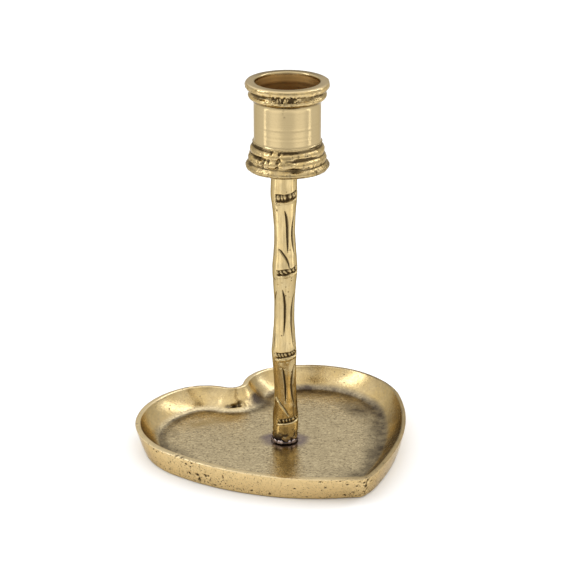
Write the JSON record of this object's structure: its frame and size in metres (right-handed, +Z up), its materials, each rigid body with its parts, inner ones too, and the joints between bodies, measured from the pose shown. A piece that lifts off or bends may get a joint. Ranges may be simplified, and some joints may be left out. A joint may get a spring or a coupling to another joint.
{
  "type": "brass candlestick",
  "caption": "Cast brass candlestick: a heart-shaped drip dish, a slim bamboo-form stem and a turned candle cup with rolled and strand-wrapped bands.",
  "frame": {"origin": "middle of the dish's outline, on the surface it stands on", "axes": "+Z up along the stem, -Y towards the tip of the heart, +X towards the lobe on the right when seen from the tip"},
  "size_m": [0.1038, 0.1004, 0.14],
  "materials": {
    "dish_brass": "cast and tumbled, pitted outer wall, satin floor with a dark patina in the corners",
    "stem_brass": "cast and brushed bright, dark in the stamped grooves",
    "cup_brass": "turned satin barrel and rim, cast bands with dark recesses, brown bore",
    "screw_brass": "turned, dull",
    "braze_filler": "pale filler metal with a violet heat tint"
  },
  "bodies": {
    "root": {"heart_dish": "dish_brass", "bamboo_stem": "stem_brass", "candle_cup": "cup_brass", "cup_screw": "screw_brass", "cup_washer": "screw_brass", "foot_screw": "screw_brass", "foot_braze_bead": "braze_filler"}
  },
  "joints": []
}
